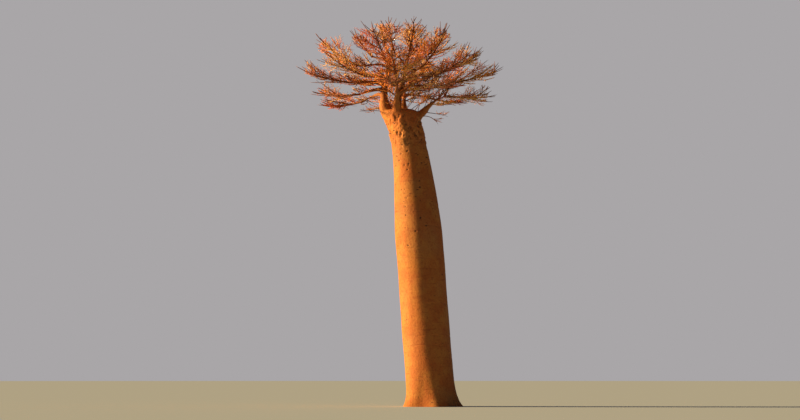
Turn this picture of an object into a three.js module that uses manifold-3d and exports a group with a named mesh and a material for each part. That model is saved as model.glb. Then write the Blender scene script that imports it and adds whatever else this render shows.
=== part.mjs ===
// A bare baobab of western Madagascar, rooted in level ground: a column of a trunk that leans and
// narrows to its neck, five limbs that leave its top, the boughs that fork off them, and a mass of
// leafless twigs that grows on from the tip of each. Millimetres, +Z up, with the origin in the
// middle of the flat cut at ground level. The tree is seen from -Y, and +X is its right-hand side.
import * as THREE from "three";
import { mergeVertices } from "three/addons/utils/BufferGeometryUtils.js";
import Module from "manifold-3d";

const wasm = await Module();
wasm.setup();

const CLEARANCE = 0.3; // left between solids that touch on the real tree
const WELD = 0.001; // corners of one solid that are nearer than this are one corner

// Trunk: heights and radii, with its changes of girth at shares of its height
const TRUNK_HEIGHT = 16900;
const FOOT_RADIUS = 1370;
const NECK_RADIUS = 1000;
const NECK_STARTS = 0.56;
const NECK_ENDS = 0.94;
const COLLAR = 60; // how far the trunk widens again where the limbs leave it
const COLLAR_STARTS = 0.94;
const LEAN = 1200; // how far the trunk's top has moved to the left over its height
const NECK_BEND = 500; // and further to the left by the bend under the fork
const NECK_BEND_POWER = 8;
const CAP_HEIGHT = 300; // the rounded top between the limbs
const TRUNK_SIDES = 24;
const TRUNK_STEPS = 11;
const CAP_STEPS = 3;

// Root flare: the foot spreads into low buttresses that are gone a few metres up
const FLARE = 330;
const FLARE_HEIGHT = 520;
const BUTTRESSES = 5;
const BUTTRESS_DEPTH = 130;
const BUTTRESS_HEIGHT = 1100;
const FOOT_STEPS = [0, 180, 420, 800, 1300, 2000];

// Crown: tiers of boughs that point away from its centre, a little above the fork, lowest first.
// A tier has its number of boughs, their rise above level, the compass turn of its first bough, the
// reach of its twigs from the centre and the share of that at which a bough hands over to its twigs.
// Turns run anticlockwise from the right-hand side, so 180 is left and 270 is towards the viewer.
const CROWN_LEFT = 20; // from the middle of the fork to the crown's centre
const CROWN_LIFT = 1200;
const TIERS = [
  { name: "low", boughs: 7, rise: -2, turn: 203, reach: 5600, share: 0.5 },
  { name: "middle", boughs: 8, rise: 14, turn: 178, reach: 6200, share: 0.5 },
  { name: "high", boughs: 6, rise: 29, turn: 188, reach: 5850, share: 0.53 },
  { name: "upper", boughs: 4, rise: 51, turn: 158, reach: 4950, share: 0.62 },
  { name: "steep", boughs: 3, rise: 71, turn: 178, reach: 4500, share: 0.62 },
];
const TURN_SWING = 7; // how far a bough strays from its even place in the tier, in degrees
const RISE_SWING = 3;
const REACH_SWING = 0.05; // and how much its reach varies

// Limbs: the five boughs that leave the trunk itself. Each starts inside the trunk, to the right of
// its middle and behind it by its foot, sets out along its way and ends at its place in the crown.
const LIMBS = [
  { name: "left_leader", at: "steep_1", foot: [-400, 0], way: [-1400, 0, 1650], root: 340, share: 0.64 },
  { name: "right_leader", at: "steep_3", foot: [-340, 120], way: [60, 0, 1500], root: 230, share: 0.54 },
  { name: "right_arm", at: "low_4", foot: [430, -60], way: [900, -30, 720], root: 250, share: 0.52 },
  { name: "front_arm", at: "middle_3", foot: [-300, -500], way: [-40, -350, 1100], root: 240, share: 0.5 },
  { name: "back_arm", at: "middle_7", foot: [120, 520], way: [0, 350, 1100], root: 240, share: 0.5 },
];
const LIMB_DEPTH = 700; // how far under the fork a limb's own wood starts
const LIMB_ARRIVAL = 0.33; // how softly it bends over
const LIMB_TAPER = 1.4;
const LIMB_SIDES = 8;
const LIMB_STEPS = 8;

// Boughs: they fork off the limbs and end where their twigs begin
const BOUGH_ROOT = 128;
const BOUGH_TIP = 50; // the limbs end as thick as the boughs
const BOUGH_SIDES = 5;
const BOUGH_STEPS = 5;
const BOUGH_GIRTH = 0.85; // and at most this share of its limb where it leaves
const FORK_FROM = 0.27; // shares of a limb between which its boughs leave it
const FORK_TO = 0.86;
const FORK_SPACING = 0.06; // least share of the limb between two of them
const FORK_ANGLE = 55; // that they like between their limb and their way out
const HOOK_COST = 6; // how much more they mind a way that is off their own level
const FORK_REACH = 0.33; // how soft the two bends of a bough are
const FORK_PULL = 0.16; // how far a bough runs on with its limb before it turns away

// Twigs: two rounds of them on the stem of each mass, each round shorter and thinner
const STEM_SIDES = 4;
const STEM_STEPS = 3;
const STEM_TIP = 13;
const STEM_BEND = 0.6; // share of the stem that runs out before it curls
const STEM_SAG = 5; // degrees under its place's rise at which a stem starts out
const STEM_LIFT = 3; // and over that rise where it ends, because it curls up
const TWIG_SIDES = 3;
const TWIG_GIRTH = 0.62; // a twig's root against its parent where it leaves
const TWIG_ROUNDS = [
  { twigs: 9, from: 0.04, to: 0.95, angle: 43, length: 0.74, steps: 2 },
  { twigs: 1, from: 0.25, to: 0.55, angle: 34, length: 0.66, steps: 1 },
];
const TWIG_TAPER = 0.55; // share of its length that a twig loses between its parent's root and tip
const TWIG_CURL = 0.35; // how strongly twigs bend outwards and up
const TWIG_FAN = 50; // degrees by which twigs leave the flat of their spray
const TWIG_HANG = 14; // the most of that downwards, which leaves the spray's underside clean
const TWIG_STAGGER = 0.35; // share of its even spacing that a twig strays along its parent
const ANGLE_SWING = 0.2; // shares by which a twig's angle and length vary
const LENGTH_SWING = 0.15;
const TWIG_SIZES = [1, 0.75, 0.5]; // shares of its length that a twig tries until it fits its space
const ROOM = 40; // least gap between the spaces of two masses
const WOOD_CHECKS = 12; // places along a limb at which a twig is tested against it
const MASS_SEED = 100; // steps between the seeds of two masses, of two parents and of two rounds
const PARENT_SEED = 31;
const ROUND_SEED = 7;

const UP = new THREE.Vector3(0, 0, 1);
const { degToRad, smoothstep, lerp } = THREE.MathUtils;

// A repeatable number from 0 to 1 for each set of counters
function chance(a, b = 0, c = 0) {
  const wave = Math.sin(a * 12.9898 + b * 78.233 + c * 37.719) * 43758.5453;
  return wave - Math.floor(wave);
}

// The same, from -1 to 1
function swing(a, b, c) {
  return 2 * chance(a, b, c) - 1;
}

// A closed three.js geometry as a solid
function solidOf(geometry) {
  const bare = geometry.clone();
  bare.deleteAttribute("normal");
  bare.deleteAttribute("uv");
  const merged = mergeVertices(bare, WELD);
  const corners = merged.index.array;
  const kept = [];
  for (let i = 0; i < corners.length; i += 3) {
    const [a, b, c] = corners.slice(i, i + 3);
    if (a !== b && b !== c && a !== c) kept.push(a, b, c);
  }
  return new wasm.Manifold(
    new wasm.Mesh({
      numProp: 3,
      vertProperties: new Float32Array(merged.attributes.position.array),
      triVerts: new Uint32Array(kept),
    }),
  );
}

// A solid as a named mesh
function meshOf(name, solid, material) {
  const { vertProperties, triVerts } = solid.getMesh();
  const geometry = new THREE.BufferGeometry();
  geometry.setAttribute("position", new THREE.BufferAttribute(vertProperties, 3));
  geometry.setIndex(new THREE.BufferAttribute(triVerts, 1));
  geometry.computeVertexNormals();
  const mesh = new THREE.Mesh(geometry, material);
  mesh.name = name;
  return mesh;
}

// The largest body of a solid, without its loose scraps
function largest(solid) {
  return solid.decompose().reduce((a, b) => (a.volume() > b.volume() ? a : b));
}

// The middle of the trunk at a height
function trunkAxis(height) {
  const share = height / TRUNK_HEIGHT;
  return new THREE.Vector3(-LEAN * share - NECK_BEND * share ** NECK_BEND_POWER, 0, height);
}

// The trunk's radius at a height, towards an angle
function trunkRadius(height, angle) {
  const share = height / TRUNK_HEIGHT;
  const waist = lerp(FOOT_RADIUS, NECK_RADIUS, smoothstep(share, NECK_STARTS, NECK_ENDS));
  const collar = COLLAR * smoothstep(share, COLLAR_STARTS, 1);
  const flare = FLARE * Math.exp(-height / FLARE_HEIGHT);
  const buttress = BUTTRESS_DEPTH * Math.exp(-height / BUTTRESS_HEIGHT) * Math.cos(BUTTRESSES * angle);
  return waist + collar + flare + buttress;
}

// The trunk from its flat cut to its rounded top, with every side moved out by grow
function trunkSolid(grow = 0) {
  const profile = [new THREE.Vector2(0, 0)];
  for (const height of FOOT_STEPS) profile.push(new THREE.Vector2(1, height));
  const first = FOOT_STEPS.at(-1);
  for (let step = 1; step <= TRUNK_STEPS; step += 1)
    profile.push(new THREE.Vector2(1, lerp(first, TRUNK_HEIGHT, step / TRUNK_STEPS)));
  for (let step = 1; step <= CAP_STEPS; step += 1) {
    const angle = (step / (CAP_STEPS + 1)) * (Math.PI / 2);
    profile.push(new THREE.Vector2(Math.cos(angle), TRUNK_HEIGHT + CAP_HEIGHT * Math.sin(angle)));
  }
  profile.push(new THREE.Vector2(0, TRUNK_HEIGHT + CAP_HEIGHT + grow));
  const geometry = new THREE.LatheGeometry(profile, TRUNK_SIDES).rotateX(Math.PI / 2);
  const position = geometry.attributes.position;
  for (let i = 0; i < position.count; i += 1) {
    const point = new THREE.Vector3().fromBufferAttribute(position, i);
    const angle = Math.atan2(point.y, point.x);
    const height = Math.min(point.z, TRUNK_HEIGHT);
    const radius = Math.hypot(point.x, point.y) * (trunkRadius(height, angle) + grow);
    const middle = trunkAxis(point.z);
    position.setXYZ(i, middle.x + radius * Math.cos(angle), radius * Math.sin(angle), point.z);
  }
  return solidOf(geometry);
}

// A closed cylinder bent along a curve, whose radius follows radiusAt from root to tip
function limbSolid(curve, radiusAt, sides, steps) {
  const pointed = radiusAt(1) === 0;
  const geometry = new THREE.CylinderGeometry(pointed ? 0 : 1, 1, 1, sides, steps);
  const { normals, binormals } = curve.computeFrenetFrames(steps);
  const position = geometry.attributes.position;
  for (let i = 0; i < position.count; i += 1) {
    const step = Math.round((position.getY(i) + 0.5) * steps);
    const across = new THREE.Vector2(position.getX(i), position.getZ(i));
    const inMiddle = across.length() < WELD; // of an end face
    across.normalize().multiplyScalar(inMiddle ? 0 : radiusAt(step / steps));
    const point = curve.getPointAt(step / steps);
    point.addScaledVector(binormals[step], across.x).addScaledVector(normals[step], across.y);
    position.setXYZ(i, point.x, point.y, point.z);
  }
  return solidOf(geometry);
}

const FORK = trunkAxis(TRUNK_HEIGHT);
const CENTRE = FORK.clone().add(new THREE.Vector3(-CROWN_LEFT, 0, CROWN_LIFT));

// The direction away from the crown's centre at a compass turn and a rise, in degrees
function heading(turn, rise) {
  return new THREE.Vector3(
    Math.cos(degToRad(rise)) * Math.cos(degToRad(turn)),
    Math.cos(degToRad(rise)) * Math.sin(degToRad(turn)),
    Math.sin(degToRad(rise)),
  );
}

// The places of the crown: one for each bough and the mass of twigs at its tip
function crownPlaces() {
  const places = [];
  TIERS.forEach((tier, row) => {
    for (let i = 0; i < tier.boughs; i += 1) {
      const turn = tier.turn + (360 / tier.boughs) * i + TURN_SWING * swing(row, i, 1);
      const rise = tier.rise + RISE_SWING * swing(row, i, 2);
      const name = `${tier.name}_${i + 1}`;
      const limb = LIMBS.find(({ at }) => at === name);
      places.push({
        name,
        limb,
        turn,
        rise,
        heading: heading(turn, rise),
        level: heading(turn, rise - STEM_SAG),
        reach: tier.reach * (1 + REACH_SWING * swing(row, i, 3)),
        handover: limb ? limb.share : tier.share,
      });
    }
  });
  for (const place of places)
    place.tip = CENTRE.clone().addScaledVector(place.heading, place.handover * place.reach);
  return places;
}

// A limb leaves the top of the trunk on its own side and bends over to its place
function limbCurve({ limb, tip, level }) {
  const foot = FORK.clone().add(new THREE.Vector3(...limb.foot, -LIMB_DEPTH));
  const leaving = foot.clone().add(new THREE.Vector3(...limb.way));
  const arriving = tip.clone().addScaledVector(level, -LIMB_ARRIVAL * tip.distanceTo(foot));
  return new THREE.CubicBezierCurve3(foot, leaving, arriving, tip);
}

// How much a bough that forks off at a share of a limb would bend on its way: off the angle that it
// likes to leave at, and off the level that it arrives at
function strain(curve, share, { tip, level }) {
  const way = tip.clone().sub(curve.getPointAt(share));
  const leaving = Math.abs(way.angleTo(curve.getTangentAt(share)) - degToRad(FORK_ANGLE));
  return way.lengthSq() * (1 + leaving + HOOK_COST * way.angleTo(level) ** 2);
}

// The share between two others where a bough's strain is least
function bestFork(curve, least, most, bough) {
  let best = { strain: Infinity };
  for (let share = least; share <= most; share += FORK_SPACING / 3) {
    const found = strain(curve, share, bough);
    if (found < best.strain) best = { share, strain: found };
  }
  return best;
}

// Each bough belongs to the limb that lets it run most freely, and the lower it points, the lower on
// that limb it forks off
function shareOut(places, limbs) {
  for (const place of places) {
    const strains = limbs.map((limb) => bestFork(limb.curve, FORK_FROM, FORK_TO, place).strain);
    limbs[strains.indexOf(Math.min(...strains))].boughs.push(place);
  }
  for (const { curve, boughs } of limbs) {
    boughs.sort((one, other) => one.rise - other.rise);
    let least = FORK_FROM;
    boughs.forEach((bough, i) => {
      const most = FORK_TO - FORK_SPACING * (boughs.length - 1 - i);
      bough.share = bestFork(curve, least, most, bough).share;
      least = bough.share + FORK_SPACING;
    });
  }
}

// A bough leaves its limb at its share, then bends over to its own level
function boughCurve(limb, { share, tip, level }) {
  const root = limb.getPointAt(share);
  const along = limb.getTangentAt(share);
  const way = tip.distanceTo(root);
  const leaving = root.clone().lerp(tip, FORK_REACH).addScaledVector(along, FORK_PULL * way);
  const arriving = tip.clone().addScaledVector(level, -FORK_REACH * way);
  return new THREE.CubicBezierCurve3(root, leaving, arriving, tip);
}

// True where a ball stays in its own mass's space: nearer its heading than any other, and in reach
function inSpace(places, mine, point, radius) {
  const out = point.clone().sub(CENTRE);
  if (out.length() + radius > mine.reach) return false;
  return places.every((other) => {
    if (other === mine) return true;
    const divide = mine.heading.clone().sub(other.heading).normalize();
    return out.dot(divide) >= radius + ROOM / 2;
  });
}

// True where a ball touches none of the limbs and boughs
function clearOfLimbs(wood, point, radius) {
  return wood.every(({ curve, radiusAt }) => {
    for (let check = 0; check <= WOOD_CHECKS; check += 1) {
      const share = check / WOOD_CHECKS;
      const least = radiusAt(share) + radius + CLEARANCE;
      if (curve.getPoint(share).distanceTo(point) < least) return false;
    }
    return true;
  });
}

// The twigs of one round on a parent, each with its curve and its root's radius
function twigsOn(parent, round, seed, keep) {
  const rule = TWIG_ROUNDS[round];
  const grown = [];
  for (let i = 0; i < rule.twigs; i += 1) {
    const share = lerp(rule.from, rule.to, (i + 0.5 + TWIG_STAGGER * swing(seed, i, 4)) / rule.twigs);
    const root = parent.curve.getPointAt(share);
    const along = parent.curve.getTangentAt(share);
    const aside = parent.flat.clone().cross(along).normalize();
    const side = i % 2 ? 1 : -1;
    const fan = degToRad(Math.max(TWIG_FAN * swing(seed, i, 5), -TWIG_HANG));
    const sideways = aside.multiplyScalar(side * Math.cos(fan));
    sideways.addScaledVector(parent.flat, Math.sin(fan));
    const angle = degToRad(rule.angle * (1 + ANGLE_SWING * swing(seed, i, 6)));
    const out = along.clone().multiplyScalar(Math.cos(angle)).addScaledVector(sideways, Math.sin(angle));
    const length =
      parent.length * rule.length * (1 - TWIG_TAPER * share) * (1 + LENGTH_SWING * swing(seed, i, 7));
    const girth = TWIG_GIRTH * parent.radiusAt(share);
    for (const size of TWIG_SIZES) {
      const middle = root.clone().addScaledVector(out, 0.5 * size * length);
      const bent = out.clone().addScaledVector(parent.away, TWIG_CURL).addScaledVector(UP, TWIG_CURL);
      const tip = middle.clone().addScaledVector(bent.normalize(), 0.5 * size * length);
      if (!keep(middle, girth) || !keep(tip, girth)) continue;
      grown.push({
        curve: new THREE.QuadraticBezierCurve3(root, middle, tip),
        length: size * length,
        radiusAt: (reached) => girth * (1 - reached),
        steps: rule.steps,
        flat: parent.flat,
        away: parent.away,
      });
      break;
    }
  }
  return grown;
}

// The mass of twigs that grows on from a bough's tip: its stem and every round of twigs in one solid
function massSolid(places, mine, seed, wood) {
  const keep = (point, radius) =>
    inSpace(places, mine, point, radius) && clearOfLimbs(wood, point, radius);
  const start = mine.tip.clone().addScaledVector(mine.level, CLEARANCE);
  const end = CENTRE.clone().addScaledVector(heading(mine.turn, mine.rise + STEM_LIFT), mine.reach);
  const middle = start.clone().addScaledVector(mine.level, STEM_BEND * start.distanceTo(end));
  const stem = {
    curve: new THREE.QuadraticBezierCurve3(start, middle, end),
    length: start.distanceTo(end),
    radiusAt: (share) => lerp(BOUGH_TIP, STEM_TIP, share),
    flat: heading(mine.turn, mine.rise + 90),
    away: mine.heading,
  };
  const pieces = [limbSolid(stem.curve, stem.radiusAt, STEM_SIDES, STEM_STEPS)];
  let parents = [stem];
  TWIG_ROUNDS.forEach((rule, round) => {
    const seeds = (i) => seed + PARENT_SEED * i + ROUND_SEED * round;
    parents = parents.flatMap((parent, i) => twigsOn(parent, round, seeds(i), keep));
    for (const twig of parents) pieces.push(limbSolid(twig.curve, twig.radiusAt, TWIG_SIDES, twig.steps));
  });
  return largest(wasm.Manifold.union(pieces));
}

const bark = new THREE.MeshStandardMaterial({ name: "bark", color: "#b86e33", roughness: 0.8 });
const twigBark = new THREE.MeshStandardMaterial({ name: "twig_bark", color: "#9e5230", roughness: 0.85 });

const tree = new THREE.Group();
tree.add(meshOf("trunk", trunkSolid(), bark));

const places = crownPlaces();
const trunkCut = trunkSolid(CLEARANCE);
const wood = [];

const limbs = places
  .filter((place) => place.limb)
  .map((place) => ({ place, curve: limbCurve(place), boughs: [] }));
shareOut(places.filter((place) => !place.limb), limbs);

for (const { place, curve, boughs } of limbs) {
  const { name, root } = place.limb;
  const radiusAt = (share) => lerp(BOUGH_TIP, root, (1 - share) ** LIMB_TAPER);
  wood.push({ curve, radiusAt });
  tree.add(meshOf(name, limbSolid(curve, radiusAt, LIMB_SIDES, LIMB_STEPS).subtract(trunkCut), bark));
  const limbCut = limbSolid(curve, (share) => radiusAt(share) + CLEARANCE, LIMB_SIDES, LIMB_STEPS);
  for (const bough of boughs) {
    const way = boughCurve(curve, bough);
    const girth = Math.min(BOUGH_ROOT, BOUGH_GIRTH * radiusAt(bough.share));
    const boughRadius = (share) => lerp(BOUGH_TIP, girth, 1 - share);
    wood.push({ curve: way, radiusAt: boughRadius });
    const whole = limbSolid(way, boughRadius, BOUGH_SIDES, BOUGH_STEPS);
    const seated = largest(whole.subtract(limbCut).subtract(trunkCut));
    tree.add(meshOf(`bough_${bough.name}`, seated, bark));
  }
}

places.forEach((place, i) => {
  const mass = massSolid(places, place, MASS_SEED * (i + 1), wood);
  tree.add(meshOf(`twigs_${place.name}`, mass, twigBark));
});

export default tree;
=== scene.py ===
import math

import bmesh
import bpy
import numpy as np
from mathutils import Matrix, Vector, noise


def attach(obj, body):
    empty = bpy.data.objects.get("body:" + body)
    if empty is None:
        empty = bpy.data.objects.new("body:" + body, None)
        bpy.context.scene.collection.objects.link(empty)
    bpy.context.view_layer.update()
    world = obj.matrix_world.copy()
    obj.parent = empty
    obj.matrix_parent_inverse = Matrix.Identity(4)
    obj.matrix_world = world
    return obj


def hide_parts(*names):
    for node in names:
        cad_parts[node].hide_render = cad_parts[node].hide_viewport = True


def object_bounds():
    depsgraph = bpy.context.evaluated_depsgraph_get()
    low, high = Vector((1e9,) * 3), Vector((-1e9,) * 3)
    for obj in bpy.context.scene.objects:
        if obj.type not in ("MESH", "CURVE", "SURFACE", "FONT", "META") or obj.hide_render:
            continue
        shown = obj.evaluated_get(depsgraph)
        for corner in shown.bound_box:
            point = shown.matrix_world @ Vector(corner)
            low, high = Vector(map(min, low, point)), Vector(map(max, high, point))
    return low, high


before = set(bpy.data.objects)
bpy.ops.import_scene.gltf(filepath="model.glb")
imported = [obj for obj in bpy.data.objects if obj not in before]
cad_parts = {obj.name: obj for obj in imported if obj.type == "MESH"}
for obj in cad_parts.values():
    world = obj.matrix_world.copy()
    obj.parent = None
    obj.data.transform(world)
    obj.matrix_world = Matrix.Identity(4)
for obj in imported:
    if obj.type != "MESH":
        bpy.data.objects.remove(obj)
cad_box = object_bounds()

# Trunk: one living column of soft, water-filled wood. It leans to the left, narrows to its neck and
# widens again a little where the limbs leave it. Its foot flares into low buttresses and ends in a
# flat cut at the ground. Heights and radii are in metres, as everything here is.
TRUNK_HEIGHT = 16.9
FOOT_RADIUS = 1.37
NECK_RADIUS = 1.0
NECK_STARTS = 0.56  # shares of the height between which the trunk narrows to its neck
NECK_ENDS = 0.94
COLLAR = 0.06  # that the radius gains again over the neck
COLLAR_STARTS = 0.94
LEAN = 1.2
NECK_BEND = 0.5  # how much further the neck bends over to the left
NECK_BEND_POWER = 8  # the higher, the later the bend starts
CAP_HEIGHT = 0.3  # of the low dome that closes the trunk's top
FLARE = 0.33
FLARE_HEIGHT = 0.52
BUTTRESSES = 5
BUTTRESS_DEPTH = 0.13
BUTTRESS_HEIGHT = 1.1
TRUNK_SIDES = 96
RING_SPACING = 0.25
FOOT_RINGS = 12  # in the first metre, closer because of the flare
CAP_RINGS = 6
SUNK = 0.12  # how far the column is made below the ground, before it is cut flat there


def lerp(low, high, share):
    return low + (high - low) * share


def smoothstep(value, low, high):
    share = np.clip((value - low) / (high - low), 0, 1)
    return share * share * (3 - 2 * share)


def trunk_axis(height):
    share = height / TRUNK_HEIGHT
    return Vector((-LEAN * share - NECK_BEND * share**NECK_BEND_POWER, 0, height))


def trunk_radius(height):
    share = height / TRUNK_HEIGHT
    waist = lerp(FOOT_RADIUS, NECK_RADIUS, smoothstep(share, NECK_STARTS, NECK_ENDS))
    return waist + COLLAR * smoothstep(share, COLLAR_STARTS, 1) + FLARE * math.exp(-height / FLARE_HEIGHT)


def add_tube(bm, places, sides):
    """A closed tube: a circle of radius 1 is put at the first place and extruded from place to place."""
    ring = bmesh.ops.create_circle(bm, cap_ends=True, segments=sides, radius=1, matrix=places[0])["verts"]
    edges = {edge for vert in ring for edge in vert.link_edges}
    for here, there in zip(places, places[1:]):
        grown = bmesh.ops.extrude_edge_only(bm, edges=list(edges))["geom"]
        ring = [part for part in grown if isinstance(part, bmesh.types.BMVert)]
        edges = [part for part in grown if isinstance(part, bmesh.types.BMEdge) and part.is_boundary]
        bmesh.ops.transform(bm, matrix=there @ here.inverted(), verts=ring)
    bmesh.ops.contextual_create(bm, geom=list(edges))


heights = [-SUNK] + [step / FOOT_RINGS for step in range(FOOT_RINGS)]
rings = round((TRUNK_HEIGHT - 1) / RING_SPACING)
heights += [lerp(1, TRUNK_HEIGHT, step / rings) for step in range(rings + 1)]
places = []
for height in heights:
    girth = Matrix.Diagonal((trunk_radius(height), trunk_radius(height), 1, 1))
    places.append(Matrix.Translation(trunk_axis(height)) @ girth)
for step in range(1, CAP_RINGS + 1):
    angle = step / (CAP_RINGS + 1) * math.pi / 2
    rise = Vector((0, 0, CAP_HEIGHT * math.sin(angle)))
    radius = trunk_radius(TRUNK_HEIGHT) * math.cos(angle)
    girth = Matrix.Diagonal((radius, radius, 1, 1))
    places.append(Matrix.Translation(trunk_axis(TRUNK_HEIGHT) + rise) @ girth)

wood = bmesh.new()
add_tube(wood, places, TRUNK_SIDES)
for vert in wood.verts:
    out = vert.co - trunk_axis(vert.co.z)
    if out.xy.length > NECK_RADIUS / 2:
        depth = BUTTRESS_DEPTH * math.exp(-max(vert.co.z, 0) / BUTTRESS_HEIGHT)
        turn = math.atan2(out.y, out.x)
        vert.co += out.normalized() * depth * math.cos(BUTTRESSES * turn)

# Crown: five tiers of bough tips with the twigs beyond them, where the solid model has them, by the same
# rule. Each points away from the crown's centre, a little above the fork. Turns run anticlockwise from
# the right-hand side. Nothing is drawn at random: the same counters always give the same chance.
CROWN_LEFT = 0.02
CROWN_LIFT = 1.2
TIERS = [  # share: of the reach, where the bough ends and its twigs begin
    {"name": "low", "boughs": 7, "rise": -2, "turn": 203, "reach": 5.6, "share": 0.5},
    {"name": "middle", "boughs": 8, "rise": 14, "turn": 178, "reach": 6.2, "share": 0.5},
    {"name": "high", "boughs": 6, "rise": 29, "turn": 188, "reach": 5.85, "share": 0.53},
    {"name": "upper", "boughs": 4, "rise": 51, "turn": 158, "reach": 4.95, "share": 0.62},
    {"name": "steep", "boughs": 3, "rise": 71, "turn": 178, "reach": 4.5, "share": 0.62},
]
TURN_SWING = 7
RISE_SWING = 3
REACH_SWING = 0.05
STEM_SAG = 5  # degrees under its place's rise at which the wood there runs

FORK = np.array(trunk_axis(TRUNK_HEIGHT))
CENTRE = FORK + (-CROWN_LEFT, 0, CROWN_LIFT)


def chance(a, b=0, c=0):
    """A number from 0 to 1 that is always the same for the same counters."""
    wave = math.sin(a * 12.9898 + b * 78.233 + c * 37.719) * 43758.5453
    return wave - math.floor(wave)


def swing(a, b, c):
    """The same, from -1 to 1."""
    return 2 * chance(a, b, c) - 1


def heading(turn, rise):
    """The direction at a compass turn and a rise, in degrees."""
    turn, rise = math.radians(turn), math.radians(rise)
    return np.array((math.cos(rise) * math.cos(turn), math.cos(rise) * math.sin(turn), math.sin(rise)))


crown = []
for row, tier in enumerate(TIERS):
    for i in range(tier["boughs"]):
        turn = tier["turn"] + 360 / tier["boughs"] * i + TURN_SWING * swing(row, i, 1)
        rise = tier["rise"] + RISE_SWING * swing(row, i, 2)
        reach = tier["reach"] * (1 + REACH_SWING * swing(row, i, 3))
        place = {"name": f"{tier['name']}_{i + 1}", "turn": turn, "rise": rise, "reach": reach}
        place["share"] = tier["share"]
        place["heading"] = heading(turn, rise)
        place["level"] = heading(turn, rise - STEM_SAG)
        crown.append(place)

# Limbs: the five that leave the trunk's top themselves, living wood grown on from it. Each starts
# inside the trunk, to the right of its middle and behind it by its foot, sets out along its way and
# ends at its place in the crown, thick at the root and as thin as a bough at the tip.
LIMBS = {
    "steep_1": {"node": "left_leader", "foot": (-0.4, 0), "way": (-1.4, 0, 1.65)},
    "steep_3": {"node": "right_leader", "foot": (-0.34, 0.12), "way": (0.06, 0, 1.5)},
    "low_4": {"node": "right_arm", "foot": (0.43, -0.06), "way": (0.9, -0.03, 0.72)},
    "middle_3": {"node": "front_arm", "foot": (-0.3, -0.5), "way": (-0.04, -0.35, 1.1)},
    "middle_7": {"node": "back_arm", "foot": (0.12, 0.52), "way": (0, 0.35, 1.1)},
}
LIMB_ROOTS = {"steep_1": 0.34, "steep_3": 0.23, "low_4": 0.25, "middle_3": 0.24, "middle_7": 0.24}
LIMB_SHARES = {"steep_1": 0.64, "steep_3": 0.54, "low_4": 0.52, "middle_3": 0.5, "middle_7": 0.5}
LIMB_DEPTH = 0.7  # how far inside the trunk's top a limb starts
LIMB_ARRIVAL = 0.33  # the share of its way over which it turns to its place's level
LIMB_TAPER = 1.4
LIMB_SIDES = 24
LIMB_RINGS = 30
BOUGH_TIP = 0.05
LIMB_SPREAD = (0.5, 1.25, 0.6)  # a limb's swell: by what share, where its middle is, its half length
MEASURES = 201  # points at which a curve is measured


def unit(vector):
    return vector / np.linalg.norm(vector)


class Bend:
    """A Bezier curve whose shares are shares of its length."""

    def __init__(self, *poles):
        self.poles = np.array(poles)
        self.shares = np.linspace(0, 1, MEASURES)
        steps = np.linalg.norm(np.diff(self.spots(self.shares), axis=0), axis=1)
        self.along = np.concatenate([[0], np.cumsum(steps)])
        self.length = self.along[-1]

    def spots(self, t):
        """The points at the curve's own parameter."""
        poles, t = list(self.poles), np.asarray(t)[..., None]
        while len(poles) > 1:
            poles = [lerp(a, b, t) for a, b in zip(poles, poles[1:])]
        return poles[0]

    def at(self, share):
        """The point at a share of the length, and the direction there."""
        t = np.interp(share * self.length, self.along, self.shares)
        poles = list(np.diff(self.poles, axis=0))
        while len(poles) > 1:
            poles = [lerp(a, b, t) for a, b in zip(poles, poles[1:])]
        return self.spots(t), unit(poles[0])


def ring_places(curve, radius_at, rings, spread):
    """The places of a tube's rings along a curve, without a twist between them."""
    spots, ways = zip(*(curve.at(step / rings) for step in range(rings + 1)))
    turn = Vector(ways[0]).to_track_quat("Z", "X")
    places = []
    for step, spot in enumerate(spots):
        if step:
            turn = Vector(ways[step - 1]).rotation_difference(Vector(ways[step])) @ turn
        radius = radius_at(step / rings)
        grow = 1 + spread[0] * math.exp(-(((step / rings * curve.length - spread[1]) / spread[2]) ** 2))
        girth = Matrix.Diagonal((grow * radius, grow * radius, 1, 1))
        places.append(Matrix.Translation(spot) @ turn.to_matrix().to_4x4() @ girth)
    return places


limbs = []
for place in crown:
    place["limb"] = LIMBS.get(place["name"])
    if place["limb"]:
        place["share"] = LIMB_SHARES[place["name"]]
    place["tip"] = CENTRE + place["heading"] * place["share"] * place["reach"]
    if place["limb"]:
        foot = FORK + (*place["limb"]["foot"], -LIMB_DEPTH)
        leaving = foot + place["limb"]["way"]
        arriving = place["tip"] - place["level"] * LIMB_ARRIVAL * np.linalg.norm(place["tip"] - foot)
        place["curve"] = Bend(foot, leaving, arriving, place["tip"])
        place["girth"] = LIMB_ROOTS[place["name"]]
        place["taper"] = LIMB_TAPER
        place["boughs"] = []
        limbs.append(place)


def girth_at(place, share):
    """The radius of a limb or bough at a share of its length."""
    return lerp(BOUGH_TIP, place["girth"], (1 - share) ** place["taper"])


for limb in limbs:
    rings = ring_places(limb["curve"], lambda share: girth_at(limb, share), LIMB_RINGS, LIMB_SPREAD)
    add_tube(wood, rings, LIMB_SIDES)

# Boughs: long tapering side limbs of the same living wood, forked off the limbs. Each belongs to the
# limb that lets it run most freely, leaves it the lower the lower it points, and bends over to its own
# level, like the barbs of a feather.
BOUGH_ROOT = 0.128
BOUGH_SHARE = 0.85  # of its limb's girth that a bough's own is at most
BOUGH_SPREAD = (0.35, 0.1, 0.25)
FORK_FROM = 0.27  # the shares of a limb between which its boughs leave it
FORK_TO = 0.86
FORK_SPACING = 0.06
FORK_ANGLE = 55  # that boughs like between their limb and their way out
HOOK_COST = 6  # how much more they mind a way that is off their own level
FORK_REACH = 0.33  # how soft the two bends of a bough are
FORK_PULL = 0.16  # how far a bough runs on with its limb before it turns away
BOUGH_SIDES = 14
BOUGH_RINGS = 24


def turned(one, other):
    """The angle between two directions."""
    return math.acos(max(-1.0, min(1.0, float(unit(one) @ unit(other)))))


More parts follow.
